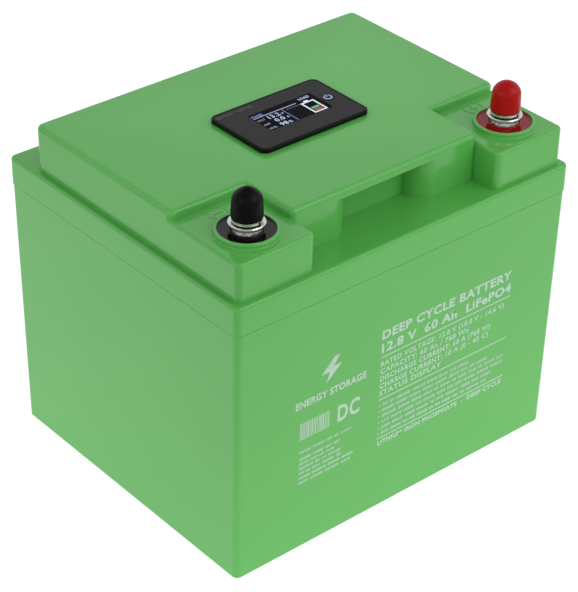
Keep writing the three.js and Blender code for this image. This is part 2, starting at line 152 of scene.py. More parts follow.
class Colours(bpy.types.PropertyGroup):
    case: colour("Case", (0.096, 0.435, 0.078), "Moulded case plastic")
    ink: colour("Ink", (0.46, 0.63, 0.50), "Pale print on the front")
    black: colour("Black plastic", (0.003, 0.003, 0.003), "Display housing")
    face: colour("Face film", (0.016, 0.015, 0.015), "Display face")
    red: colour("Red rubber", (0.40, 0.003, 0.002), "Positive cap")
    resin_red: colour("Red resin", (0.30, 0.002, 0.003), "Positive post seal")
    glow: colour("Screen blue", (0.45, 0.62, 1.0), "Lit figures on the screen")


class StageSizes(bpy.types.PropertyGroup):
    azimuth: angle("Azimuth", -40.93, "Camera's heading")
    elevation: angle("Elevation", 33.12, "Camera's height over the floor, as an angle")
    roll: angle("Roll", 1.19, "Camera's roll")
    distance: size("Distance", 1.0015, "Camera to target")
    lens: number("Lens", 128.53, "Focal length in millimetres on a sensor 36 mm wide")
    room: number("Room", 0.86, "Brightness of the room round the stage")
    ceiling: number("Ceiling", 0.58, "Brightness overhead, against the walls")
    floor: number("Floor", 0.82, "Brightness of the lit floor by the battery")


GROUPS = {
    "battery_shell": ShellSizes,
    "battery_terminal": TerminalSizes,
    "battery_display": DisplaySizes,
    "battery_print": PrintSizes,
    "battery_colours": Colours,
    "battery_stage": StageSizes,
}


# ---- shader maths ------------------------------------------------------------------------------


class Value:
    """A shader socket that takes Python's arithmetic; each operator adds one Math node."""

    def __init__(self, shader, socket):
        self.shader = shader
        self.socket = socket

    def _math(self, operation, *operands):
        return self.shader.node("ShaderNodeMath", {"operation": operation}, dict(enumerate(operands)))

    def __add__(self, other):
        return self._math("ADD", self, other)

    def __mul__(self, other):
        return self._math("MULTIPLY", self, other)

    def __radd__(self, other):
        return self._math("ADD", other, self)

    def __rmul__(self, other):
        return self._math("MULTIPLY", other, self)

    def above(self, edge, softness):
        """0 below edge and 1 above it, over a soft step."""
        settings = {"interpolation_type": "SMOOTHSTEP"}
        ends = {0: self, 1: edge - softness, 2: edge + softness}
        return self.shader.node("ShaderNodeMapRange", settings, ends)


class Shader:
    """The node tree of a material, or of the world, and the few kinds of node used most."""

    def __init__(self, owner, coordinate="Object"):
        self.owner = bpy.data.materials.new(owner) if isinstance(owner, str) else owner
        self.owner.use_nodes = True
        self.tree = self.owner.node_tree
        self.tree.nodes.clear()
        self.place = self.node("ShaderNodeTexCoord", output=coordinate)

    def node(self, kind, settings=None, sockets=None, output=0):
        """Adds a node, with its settings made first and then its sockets set or linked."""
        made = self.tree.nodes.new(kind)
        for key, value in (settings or {}).items():
            setattr(made, key, value)
        for key, value in (sockets or {}).items():
            if isinstance(value, Value):
                self.tree.links.new(value.socket, made.inputs[key])
            else:
                made.inputs[key].default_value = value
        return Value(self, made.outputs[output]) if made.outputs else made

    def noise(self, scale, detail=3, roughness=0.5, stretch=(1, 1, 1)):
        place = self.node("ShaderNodeMapping", {}, {"Vector": self.place, "Scale": stretch})
        sockets = {"Vector": place, "Scale": scale, "Detail": detail, "Roughness": roughness}
        return self.node("ShaderNodeTexNoise", {}, sockets)

    def mix(self, factor, a, b):
        ends = {0: factor, 6: rgba(a), 7: rgba(b)}
        return self.node("ShaderNodeMix", {"data_type": "RGBA"}, ends, 2)

    def bump(self, height, distance, strength):
        sockets = {"Height": height, "Distance": distance, "Strength": strength}
        return self.node("ShaderNodeBump", {}, sockets)

    def surface(self, base, roughness, **sockets):
        named = {"Base Color": rgba(base), "Roughness": roughness, **sockets}
        shader = self.node("ShaderNodeBsdfPrincipled", {}, named)
        self.node("ShaderNodeOutputMaterial", {}, {"Surface": shader})
        return self.owner


def rgba(value):
    return value if isinstance(value, Value) else (*value[:3], 1)


def scaled(value, factor):
    return tuple(c * factor for c in value)


# ---- finishes ----------------------------------------------------------------------------------

finishes = {}


def finish(function):
    """Keeps the material that a function makes, so that pieces share it."""

    def get(*arguments):
        key = (function.__name__, *arguments)
        if key not in finishes:
            finishes[key] = function(*arguments)
        return finishes[key]

    return get


def shades():
    return bpy.context.scene.battery_colours


@finish
def case_plastic():
    """Semi-gloss moulded ABS: faint flow in the colour, a fine grain and worn, slightly paler edges."""
    s = Shader("moulded case plastic")
    base = tuple(shades().case)
    flow = s.noise(14, 2)
    grain = s.noise(1500, 2)
    rubbed = s.node("ShaderNodeNewGeometry", output="Pointiness").above(0.535, 0.03)
    tone = s.mix(flow, scaled(base, 0.96), scaled(base, 1.04))
    tone = s.mix(rubbed * 0.25, tone, scaled(base, 1.35))
    rough = 0.12 + s.noise(90, 3) * 0.07
    return s.surface(tone, rough, Normal=s.bump(grain, 0.00001, 0.3), IOR=1.5)


@finish
def printed_ink():
    """Screen-printed ink: pale, a little uneven where the screen's mesh thinned it."""
    s = Shader("printed ink")
    ink = tuple(shades().ink)
    patchy = s.noise(900, 2).above(0.36, 0.12)
    return s.surface(s.mix(patchy, scaled(ink, 0.85), ink), 0.45)


@finish
def rubber(name, base, shine):
    """Soft moulded rubber: a satin skin, faint rubbed patches and a trace of dust."""
    s = Shader(name)
    skin = s.noise(1800, 3, 0.6)
    dust = s.noise(260, 4).above(0.64, 0.08)
    tone = s.mix(dust * 0.15, base, scaled(base, 0.6) if max(base) > 0.1 else (0.02, 0.02, 0.02))
    rough = 0.22 + s.noise(300, 2) * 0.12
    return s.surface(tone, rough, Normal=s.bump(skin, 0.00003, 0.35), **{"Specular IOR Level": shine})


@finish
def resin(name, base):
    """Poured resin: deep, wet looking, with a very slight wave from setting."""
    s = Shader(name)
    wave = s.noise(160, 1)
    tone = s.mix(s.noise(500, 2), scaled(base, 0.85), base)
    rough = 0.05 + s.noise(700, 2) * 0.05
    return s.surface(tone, rough, Normal=s.bump(wave, 0.00004, 0.3), **{"Specular IOR Level": 0.26})


@finish
def plated_metal():
    """Nickel plating with turning marks and small rubs."""
    s = Shader("plated metal")
    turning = s.noise(700, 2, 0.5, (1, 1, 14))
    rubs = s.noise(900, 4, 0.7).above(0.6, 0.08)
    tone = s.mix(rubs * 0.3, (0.72, 0.70, 0.66), (0.42, 0.41, 0.39))
    rough = 0.14 + turning * 0.12 + rubs * 0.12
    return s.surface(tone, rough, Metallic=1.0, Normal=s.bump(turning, 0.00001, 0.5))


@finish
def cast_metal():
    """The cast bushing round a stud: bright, coarse and mottled by the mould."""
    s = Shader("cast metal")
    lumps = s.noise(620, 4, 0.65)
    pits = s.noise(1500, 3).above(0.58, 0.06)
    tone = s.mix(lumps.above(0.5, 0.14), (0.26, 0.24, 0.22), (0.88, 0.86, 0.82))
    tone = s.mix(pits * 0.5, tone, (0.25, 0.22, 0.20))
    return s.surface(tone, 0.30 + lumps * 0.25, Metallic=1.0, Normal=s.bump(lumps, 0.00022, 0.8))


@finish
def sheet_metal(name, base, stretch):
    """Rolled metal with its grain along one direction."""
    s = Shader(name)
    grain = s.noise(260, 4, 0.6, stretch)
    tone = s.mix(grain, scaled(base, 0.8), base)
    rough = 0.28 + grain * 0.2
    return s.surface(tone, rough, Metallic=1.0, Normal=s.bump(grain, 0.00002, 0.4))


@finish
def black_plastic():
    """Satin black housing plastic with a fine spark-eroded grain."""
    s = Shader("black housing plastic")
    grain = s.noise(2600, 2)
    base = tuple(shades().black)
    tone = s.mix(s.noise(60, 2), base, scaled(base, 1.6))
    rough = 0.28 + grain * 0.1
    return s.surface(tone, rough, Normal=s.bump(grain, 0.00002, 0.4), **{"Specular IOR Level": 0.12})


@finish
def face_film():
    """Printed polyester face with a velvet coat."""
    s = Shader("display face film")
    base = tuple(shades().face)
    velvet = s.noise(3200, 2)
    tone = s.mix(velvet, scaled(base, 0.85), scaled(base, 1.1))
    rough = 0.34 + velvet * 0.06
    return s.surface(tone, rough, Normal=s.bump(velvet, 0.00001, 0.4), **{"Specular IOR Level": 0.14})


@finish
def screen_glass():
    """The dark screen behind its window, with faint fine rows."""
    s = Shader("screen glass")
    rows = s.node("ShaderNodeTexWave", {"bands_direction": "Y"}, {"Vector": s.place, "Scale": 900.0})
    tone = s.mix(rows * 0.4, (0.001, 0.001, 0.004), (0.003, 0.003, 0.012))
    return s.surface(tone, 0.10 + rows * 0.03, **{"Specular IOR Level": 0.02})


@finish
def lit(name, base, strength):
    """A lit patch of the screen, with its fine rows."""
    s = Shader(name)
    rows = s.node("ShaderNodeTexWave", {"bands_direction": "Y"}, {"Vector": s.place, "Scale": 900.0})
    glow = s.mix(rows * 0.3, base, scaled(base, 0.6))
    named = {"Emission Color": glow, "Emission Strength": strength}
    return s.surface(s.mix(rows, scaled(base, 0.05), scaled(base, 0.1)), 0.3 + rows * 0.1, **named)


@finish
def cell_film():
    """Blue heat-shrunk film over the cell's can."""
    s = Shader("cell film")
    pull = s.noise(120, 3, 0.5, (1, 1, 6))
    tone = s.mix(pull, (0.010, 0.06, 0.27), (0.016, 0.09, 0.36))
    return s.surface(tone, 0.24 + pull * 0.15, Normal=s.bump(pull, 0.00008, 0.4))


@finish
def foam():
    """Closed-cell foam: small open pores over the cut faces."""
    s = Shader("closed cell foam")
    pores = s.node("ShaderNodeTexVoronoi", {}, {"Vector": s.place, "Scale": 900.0})
    tone = s.mix(pores, (0.03, 0.031, 0.035), (0.014, 0.015, 0.018))
    return s.surface(tone, 0.86 + pores * 0.1, Normal=s.bump(pores, 0.0002, 0.6))


@finish
def fibre_sheet():
    """Epoxy glass sheet with its woven cloth showing through."""
    s = Shader("epoxy glass sheet")
    across = s.node("ShaderNodeTexWave", {"bands_direction": "X"}, {"Vector": s.place, "Scale": 260.0})
    along = s.node("ShaderNodeTexWave", {"bands_direction": "Y"}, {"Vector": s.place, "Scale": 260.0})
    weave = across * 0.5 + along * 0.5
    tone = s.mix(weave, (0.50, 0.55, 0.26), (0.62, 0.66, 0.36))
    return s.surface(tone, 0.4 + weave * 0.1, Normal=s.bump(weave, 0.00003, 0.4))


@finish
def circuit_board():
    """Green solder mask over copper runs."""
    s = Shader("circuit board")
    square = {"feature": "F1", "distance": "CHEBYCHEV"}
    runs = s.node("ShaderNodeTexVoronoi", square, {"Vector": s.place, "Scale": 160.0}).above(0.42, 0.03)
    tone = s.mix(runs, (0.008, 0.055, 0.02), (0.018, 0.11, 0.04))
    return s.surface(tone, 0.25 + runs * 0.1, Normal=s.bump(runs, 0.00004, 0.6))


@finish
def sealant():
    """Cured joint sealant, slightly lumpy."""
    s = Shader("cured sealant")
    lumps = s.noise(400, 3)
    tone = s.mix(lumps, (0.02, 0.023, 0.03), (0.05, 0.055, 0.065))
    return s.surface(tone, 0.45 + lumps * 0.1, Normal=s.bump(lumps, 0.0002, 0.5))


def black_rubber():
    return rubber("black rubber", (0.0022, 0.0022, 0.0024), 0.09)


def red_rubber():
    return rubber("red rubber", tuple(shades().red), 0.16)


def black_resin():
    return resin("black resin", (0.003, 0.003, 0.0032))


def red_resin():
    return resin("red resin", tuple(shades().resin_red))


def zinc_steel():
    return sheet_metal("zinc plated steel", (0.52, 0.53, 0.54), (1, 1, 8))


def rolled_aluminium():
    return sheet_metal("rolled aluminium", (0.68, 0.69, 0.70), (1, 6, 1))


# ---- mesh making -------------------------------------------------------------------------------


def near(a, b, tolerance=1e-5):
    return abs(a - b) < tolerance


def upright_edges(bm):
    return [e for e in bm.edges if abs((e.verts[0].co - e.verts[1].co).normalized().z) > 0.99]


def level_edges(bm, height):
    return [e for e in bm.edges if all(near(v.co.z, height) for v in e.verts)]


def bevelled(bm, edges, radius, segments):
    if radius > 0:
        bmesh.ops.bevel(
            bm, geom=edges, offset=radius, segments=segments, profile=0.5, affect="EDGES", material=-1
        )


def rounded_block(low, high, corner, top=0, bottom=0, draft=0, corner_steps=8, edge_steps=5):
    """A box with round upright corners, and rounded upper and lower edges; draft narrows its base."""
    bm = bmesh.new()
    low, high = Vector(low), Vector(high)
    place = Matrix.Translation((low + high) / 2) @ Matrix.Diagonal((*(high - low), 1))
    bmesh.ops.create_cube(bm, size=1, matrix=place)
    foot = [v for v in bm.verts if near(v.co.z, low.z)]
    centre = (low + high) / 2
    for v in foot:
        v.co.x -= math.copysign(draft, v.co.x - centre.x)
        v.co.y -= math.copysign(draft, v.co.y - centre.y)
    bevelled(bm, upright_edges(bm), corner, corner_steps)
    bevelled(bm, level_edges(bm, high.z), top, edge_steps)
    bevelled(bm, level_edges(bm, low.z), bottom, edge_steps)
    return bm


def turned(profile, centre=(0, 0), steps=64):
    """A profile of (radius, height) points spun once round an upright axis."""
    bm = bmesh.new()
    points = [bm.verts.new((r, 0, z)) for r, z in profile]
    lines = [bm.edges.new(pair) for pair in zip(points, points[1:])]
    bmesh.ops.spin(
        bm, geom=points + lines, cent=(0, 0, 0), axis=(0, 0, 1), angle=math.tau, steps=steps, use_merge=True
    )
    bmesh.ops.remove_doubles(bm, verts=bm.verts, dist=1e-6)
    bmesh.ops.recalc_face_normals(bm, faces=bm.faces)
    bmesh.ops.translate(bm, verts=bm.verts, vec=(centre[0], centre[1], 0))
    return bm


def arc(centre, radius, start, end, steps):
    """Points on an arc, from the start angle to the end angle in degrees."""
    angles = [math.radians(start + (end - start) * i / steps) for i in range(steps + 1)]
    return [(centre[0] + radius * math.cos(a), centre[1] + radius * math.sin(a)) for a in angles]


def slab(outline, low, high):
    """A flat outline raised from low to high."""
    bm = bmesh.new()
    face = bm.faces.new([bm.verts.new((x, y, low)) for x, y in outline])
    raised = bmesh.ops.extrude_face_region(bm, geom=[face])["geom"]
    upper = [part for part in raised if isinstance(part, bmesh.types.BMVert)]
    bmesh.ops.translate(bm, verts=upper, vec=(0, 0, high - low))
    bmesh.ops.recalc_face_normals(bm, faces=bm.faces)
    return bm


def strip(x0, x1, y0, y1, height):
    """A flat bar between two corners, standing up to height."""
    return slab([(x0, y0), (x1, y0), (x1, y1), (x0, y1)], 0, height)


def hoop(centre, outer, inner, start, end, height, steps=32):
    """Part of a flat ring, from the start angle to the end angle in degrees."""
    outside = arc(centre, outer, start, end, steps)
    inside = arc(centre, inner, start, end, steps)
    return slab([*outside, *reversed(inside)], 0, height)


def merge_flat(bm, angle_limit):
    """Joins neighbouring faces that lie flat to each other."""
    bmesh.ops.dissolve_limit(
        bm, angle_limit=angle_limit, verts=bm.verts, edges=bm.edges, use_dissolve_boundaries=False
    )


def gathered(parts, place=None):
    """Puts meshes together as one, each left as it is, and sets them in place."""
    total = bmesh.new()
    for bm in parts:
        mesh = bpy.data.meshes.new("part")
        bm.to_mesh(mesh)
        bm.free()
        total.from_mesh(mesh)
        bpy.data.meshes.remove(mesh)
    if place:
        bmesh.ops.transform(total, matrix=place, verts=total.verts)
    return total


def thickened(bm, by):
    """Moves the upright walls of letters outwards, keeping their corners sharp."""
    bm.normal_update()
    moves = []
    for v in bm.verts:
        walls = [f.normal.copy() for f in v.link_faces if abs(f.normal.z) < 0.5]
        other = max(walls, key=lambda n: (n - walls[0]).length)
        moves.append((walls[0] + other) * by / max(1 + walls[0].dot(other), 0.5))
    for v, move in zip(bm.verts, moves):
        v.co += move


def raised_text(body, bold):
    """Letters as the built-in face draws them, one unit thick and made bolder."""
    data = bpy.data.curves.new("letters", "FONT")
    data.body = body
    data.extrude = 0.5
    data.resolution_u = 3
    data.space_character = 1.1
    made = bpy.data.objects.new("letters", data)
    bpy.context.scene.collection.objects.link(made)
    bpy.context.view_layer.update()
    bm = bmesh.new()
    bm.from_mesh(made.evaluated_get(bpy.context.evaluated_depsgraph_get()).to_mesh())
    bpy.data.objects.remove(made)
    bpy.data.curves.remove(data)
    tiny = 0.001
    bmesh.ops.remove_doubles(bm, verts=bm.verts, dist=tiny)
    bmesh.ops.dissolve_degenerate(bm, edges=bm.edges, dist=tiny)
    bmesh.ops.recalc_face_normals(bm, faces=bm.faces)
    thickened(bm, bold)
    merge_flat(bm, tiny)
    return bm


def lettering(body, x0, x1, base, height, thickness, bold=0.016):
    """Letters fitted between x0 and x1, standing on base, with capitals of the given height."""
    gauge = raised_text("H", bold)
    low, high = min(v.co.y for v in gauge.verts), max(v.co.y for v in gauge.verts)
    gauge.free()
    bm = raised_text(body, bold)
    left, right = min(v.co.x for v in bm.verts), max(v.co.x for v in bm.verts)
    scale = Matrix.Diagonal(((x1 - x0) / (right - left), height / (high - low), thickness, 1))
    place = Matrix.Translation((x0, base, 0)) @ scale @ Matrix.Translation((-left, -low, 0.5))
    bmesh.ops.transform(bm, matrix=place, verts=bm.verts)
    return bm


def as_object(bm, name="tool"):
    mesh = bpy.data.meshes.new(name)
    bm.to_mesh(mesh)
    bm.free()
    made = bpy.data.objects.new(name, mesh)
    bpy.context.scene.collection.objects.link(made)
    return made


def combined(base, *tools):
    """Joins tools to base ("UNION") or cuts them from it ("DIFFERENCE"), one after another."""
    body = as_object(base)
    others = []
    for operation, bm in tools:
        other = as_object(bm)
        step = body.modifiers.new(operation, "BOOLEAN")
        step.operation = operation
        step.solver = "MANIFOLD"
        step.object = other
        others.append(other)
    bpy.context.view_layer.update()
    result = bmesh.new()
    result.from_mesh(body.evaluated_get(bpy.context.evaluated_depsgraph_get()).to_mesh())
    for o in [body, *others]:
        mesh = o.data
        bpy.data.objects.remove(o)
        bpy.data.meshes.remove(mesh)
    nearly_flat = math.radians(0.05)
    merge_flat(result, nearly_flat)
    return result


def piece(name, bm, material, body="root", stands_for=()):
    """Finishes a mesh as one named piece that rides on a body."""
    crease = math.radians(34)
    made = as_object(bm, name)
    made.data.name = name
    made.data.shade_smooth()
    made.data.set_sharp_from_angle(angle=crease)
    made.data.materials.append(material)
    even = made.modifiers.new("Even faces", "WEIGHTED_NORMAL")
    even.keep_sharp = True
    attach(made, body)
    if stands_for:
        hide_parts(*stands_for)


# ---- case and lid ------------------------------------------------------------------------------


class BATTERY_OT_case_tub(bpy.types.Operator):
    """Build the drafted case tub, open at the top"""

    bl_idname = "battery.case_tub"
    bl_label = "Case tub"

    def execute(self, context):
        s = context.scene.battery_shell
        low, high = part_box("case_tub")
        shell = rounded_block(low, high, s.corner, s.seam_edge, s.base_edge, s.draft, 12, 4)
        side = s.wall + 0.5 * MM
        inside_low = low + Vector((side, side, s.wall))
        inside_high = high + Vector((-side, -side, 2 * CLEAR))
        inner_corner, inner_foot = 2 * MM, 1.5 * MM
        hollow = rounded_block(inside_low, inside_high, inner_corner, 0, inner_foot, s.draft)
        bm = combined(shell, ("DIFFERENCE", hollow))
        piece("case_tub_shell", bm, case_plastic(), stands_for=["case_tub"])
        return {"FINISHED"}


def grip_outline(s, wall, inward):
    """A grip from above: its rounded ends flare out to the wall that it is cut in."""
    end = s.grip_half + s.grip_depth
    inner = wall + inward * s.grip_depth
    out = wall - inward * 3 * CLEAR
    steps = 14
    left = arc((-end, inner), s.grip_depth, -90 * inward, 0, steps)
    right = arc((end, inner), s.grip_depth, 180, 180 + 90 * inward, steps)
    return [(-end, out), *left, *right, (end, out)]


class BATTERY_OT_lid(bpy.types.Operator):
    """Build the lid: skirt, dome, nose, terminal blocks, collars and finger grips"""

    bl_idname = "battery.lid"
    bl_label = "Lid"
    well_foot = 9 * MM

    def outside(self, s, low, high):
        """The skirt with the dome, the nose and the two terminal blocks standing on it."""
        root = s.ledge - 4 * MM
        skirt_high = (high.x, high.y, s.ledge)
        skirt = rounded_block(low, skirt_high, s.corner, s.ledge_edge, s.seam_edge, 0, 12, 4)
        dome_low, dome_high = (-s.dome_half, s.shoulder, root), (s.dome_half, s.dome_back, high.z)
        nose_low = (-s.nose_half, s.nose_front, root)
        nose_high = (s.nose_half, s.shoulder + 15 * MM, high.z)
        parts = [
            ("UNION", rounded_block(dome_low, dome_high, s.dome_corner, s.dome_edge)),
            ("UNION", rounded_block(nose_low, nose_high, s.dome_corner, s.dome_edge)),
        ]
        back = s.shoulder + 12 * MM
        for _, side in SIDES:
            x0, x1 = sorted((side * s.block_inner, side * s.dome_half))
            block_low, block_high = (x0, s.block_front, root), (x1, back, s.block_top)
            parts.append(("UNION", rounded_block(block_low, block_high, s.block_corner, s.block_edge)))
        return combined(skirt, *parts)

    def collar(self, t, s, centre):
        """The wall round a terminal's well, with a small fillet at its foot and a rounded rim."""
        fillet, crown, lip = 0.6 * MM, 0.8 * MM, 0.3 * MM
        top = s.block_top + t.collar_height
        under, floor = s.block_top - self.well_foot, top - 8 * MM
        foot = arc((t.collar + fillet, s.block_top + fillet), fillet, 270, 180, 4)
        rim = arc((t.collar - crown, top - crown), crown, 0, 90, 6)
        inner = arc((t.well + lip, top - lip), lip, 90, 180, 3)
        ring = [(0, under), (t.collar + fillet, under), *foot, *rim, *inner, (t.well, floor)]
        return turned([*ring, (0, floor)], centre, 72)

    def opening(self, s, high):
        """The hole for the display's housing, which clears the board on each side."""
        gap, corner = 1.8 * MM, 0.5 * MM
        board_low, board_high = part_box("display_board")
        under, past = s.block_top - 5 * MM, high.z + CLEAR
        low = (board_low.x - gap, board_low.y - gap, under)
        return rounded_block(low, (board_high.x + gap, board_high.y + gap, past), corner)

    def inside(self, s, t, low, high):
        """The room under the lid, clear of the grips' walls and the terminals' wells."""
        wall, root, roof = s.wall, s.ledge - 20 * MM, high.z - s.wall
        rim, corner = Vector((3.2 * MM, 3.2 * MM, 0)), MM
        room_low = Vector((low.x, low.y, root)) + rim
        room_high = Vector((high.x, high.y, s.ledge - wall)) - rim
        dome_low = (wall - s.dome_half, s.shoulder + wall, root)
        dome_high = (s.dome_half - wall, s.dome_back - wall, roof)
        nose_low = (wall - s.nose_half, s.nose_front + wall, root)
        nose_high = (s.nose_half - wall, s.shoulder + 12 * MM, roof)
        tools = [
            ("UNION", rounded_block(dome_low, dome_high, corner)),
            ("UNION", rounded_block(nose_low, nose_high, corner)),
        ]
        keep = s.grip_half + s.grip_depth + wall
        for y0, y1 in (
            (s.nose_front - CLEAR, s.nose_front + s.grip_depth + wall),
            (s.dome_back - s.grip_depth - wall, s.dome_back + CLEAR),
        ):
            grip = rounded_block((-keep, y0, s.ledge - wall), (keep, y1, high.z), corner)
            tools.append(("DIFFERENCE", grip))
        back, boss_radius, foot = s.shoulder + 8 * MM, t.collar + 1.3 * MM, s.block_top - self.well_foot
        for side_name, side in SIDES:
            x0, x1 = sorted((side * (s.block_inner + wall), side * (s.dome_half - wall)))
            block = rounded_block((x0, s.block_front + wall, root), (x1, back, s.block_top - wall), corner)
            profile = [(0, foot), (boss_radius, foot), (boss_radius, high.z), (0, high.z)]
            boss = turned(profile, middle(side_name + "_post"), 48)
            tools += [("UNION", block), ("DIFFERENCE", boss)]
        return combined(rounded_block(room_low, room_high, 2 * MM), *tools)

    def execute(self, context):
        s, t = context.scene.battery_shell, context.scene.battery_terminal
        low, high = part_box("lid_cover")
        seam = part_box("case_tub")[1].z + s.seam_gap
        hole, past = 4.6 * MM, high.z + CLEAR
        steps = []
        for side_name, _ in SIDES:
            centre = middle(side_name + "_post")
            steps.append(("UNION", self.collar(t, s, centre)))
            steps.append(("DIFFERENCE", turned([(0, 0), (hole, 0), (hole, past), (0, past)], centre, 32)))
        for wall, inward in ((s.nose_front, 1), (s.dome_back, -1)):
            steps.append(("DIFFERENCE", slab(grip_outline(s, wall, inward), s.ledge, s.block_top)))
        steps.append(("DIFFERENCE", self.opening(s, high)))
        steps.append(("DIFFERENCE", self.inside(s, t, low, high)))
        bm = combined(self.outside(s, Vector((low.x, low.y, seam)), high), *steps)
        piece("lid_shell", bm, case_plastic(), stands_for=["lid_cover"])
        return {"FINISHED"}


# ---- terminals ---------------------------------------------------------------------------------


class BATTERY_OT_terminals(bpy.types.Operator):
    """Build each terminal's bushing and stud, resin, washers and the raised mark behind it"""

    bl_idname = "battery.terminals"
    bl_label = "Terminals"

    def post(self, t, side):
        """The flange in the well, the cast bushing that widens downwards and the threaded stud."""
        low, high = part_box(side + "_post")
        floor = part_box(side + "_post_seal")[0].z
        flange_top, flange_radius = floor + 2.5 * MM, 9 * MM
        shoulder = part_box(side + "_flat_washer")[0].z - 0.2 * MM
        rounding, point = 0.4 * MM, 0.5 * MM
        root, crest = t.stud - 0.6 * t.pitch, t.stud - 0.05 * MM
        profile = [(0, low.z), (t.stud, low.z), (t.stud, floor), (flange_radius, floor)]
        profile += [(flange_radius, flange_top), (t.bushing, flange_top), (t.bushing, t.resin_top)]
        profile += [(t.bushing_top, shoulder - rounding), (t.bushing_top - rounding, shoulder)]
        profile += [(root, shoulder)]
        turns = int((high.z - shoulder - 0.6 * MM) / t.pitch)
        for i in range(turns):
            foot = shoulder + i * t.pitch
            profile += [(crest, foot + 0.42 * t.pitch), (crest, foot + 0.58 * t.pitch)]
            profile += [(root, foot + t.pitch)]
        profile += [(root, high.z - 0.3 * MM), (root - point, high.z), (0, high.z)]
        return turned(profile, middle(side + "_post"), 48)

    def poured(self, t, side):
        """The resin's surface climbs the bushing and the well's wall in a thin curve."""
        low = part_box(side + "_post_seal")[0].z
        outside, inside, climb = t.well - 0.02 * MM, t.bushing + 0.05 * MM, 0.7 * MM
        flange_radius, flange_top = 9.3 * MM, low + 2.8 * MM
        outer = arc((outside - climb, t.resin_top + climb), climb, 0, -90, 6)
        inner = arc((inside + climb, t.resin_top + climb), climb, 270, 180, 6)
        under = [(inside, flange_top), (flange_radius, flange_top), (flange_radius, low)]
        profile = [(flange_radius, low), (outside, low), *outer, *inner, *under]
        return turned(profile, middle(side + "_post"), 72)

    def flat_washer(self, side):
        """A punched washer with both outer edges broken."""
        low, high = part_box(side + "_flat_washer")
        outer, bevel, bore = (high.x - low.x) / 2, 0.35 * MM, 4.2 * MM
        lower = [(bore, low.z), (outer - bevel, low.z), (outer, low.z + bevel)]
        upper = [(outer, high.z - bevel), (outer - bevel, high.z), (bore, high.z), (bore, low.z)]
        return turned([*lower, *upper], middle(side + "_post"), 72)

    def spring_washer(self, side):
        """A square wire wound just short of a full turn, its ends slightly apart."""
        low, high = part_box(side + "_spring_washer")
        bore, outer, steps, rise = 4.3 * MM, 6.7 * MM, 60, 0.35 * MM
        opening, heading = math.radians(12), math.radians(-70)
        top = high.z - rise
        bm = bmesh.new()
        corners = [(bore, low.z), (outer, low.z), (outer, top), (bore, top)]
        face = bm.faces.new([bm.verts.new((x, 0, z)) for x, z in corners])
        geometry = [face, *face.edges, *face.verts]
        bmesh.ops.spin(
            bm, geom=geometry, cent=(0, 0, 0), axis=(0, 0, 1), dvec=(0, 0, rise / steps),
            angle=math.tau - opening, steps=steps, use_merge=False,
        )
        bmesh.ops.recalc_face_normals(bm, faces=bm.faces)
        spot = middle(side + "_post")
        place = Matrix.Translation((spot.x, spot.y, 0)) @ Matrix.Rotation(heading, 4, "Z")
        bmesh.ops.transform(bm, matrix=place, verts=bm.verts)
        return bm

    def mark(self, s, t, sign):
        """A shallow moulded ring on the block with a bar in it, or two crossed bars."""
        x, y = sign * 75.5 * MM, -41.5 * MM
        foot, proud, half, reach = s.block_top - 0.2 * MM, s.block_top + 0.28 * MM, 0.3 * MM, 2.3 * MM
        outer, inner = t.mark + half, t.mark - half
        top_outer, top_inner = t.mark + 0.6 * half, t.mark - 0.6 * half
        profile = [(inner, foot), (outer, foot), (top_outer, proud), (top_inner, proud), (inner, foot)]
        ring = turned(profile, (x, y), 64)
        bar = rounded_block((x - reach, y - half, foot), (x + reach, y + half, proud), 0)
        if sign > 0:
            upright = rounded_block((x - half, y - reach, foot), (x + half, y + reach, proud), 0)
            bar = combined(bar, ("UNION", upright))
        return gathered([ring, bar])

    def execute(self, context):
        s, t = context.scene.battery_shell, context.scene.battery_terminal
        for (side, sign), seal in zip(SIDES, (black_resin, red_resin)):
            resin_slot = ("black" if sign < 0 else "red") + "_resin"
            for name, bm, material, slot, node in (
                ("_stud_and_bushing", self.post(t, side), cast_metal(), "plated", "_post"),
                ("_resin", self.poured(t, side), seal(), resin_slot, "_post_seal"),
                ("_washer", self.flat_washer(side), plated_metal(), "plated", "_flat_washer"),
                ("_lock_washer", self.spring_washer(side), plated_metal(), "plated", "_spring_washer"),
            ):
                piece(side + name, bm, material, stands_for=[side + node])
            piece(side + "_mark", self.mark(s, t, sign), case_plastic())
        return {"FINISHED"}


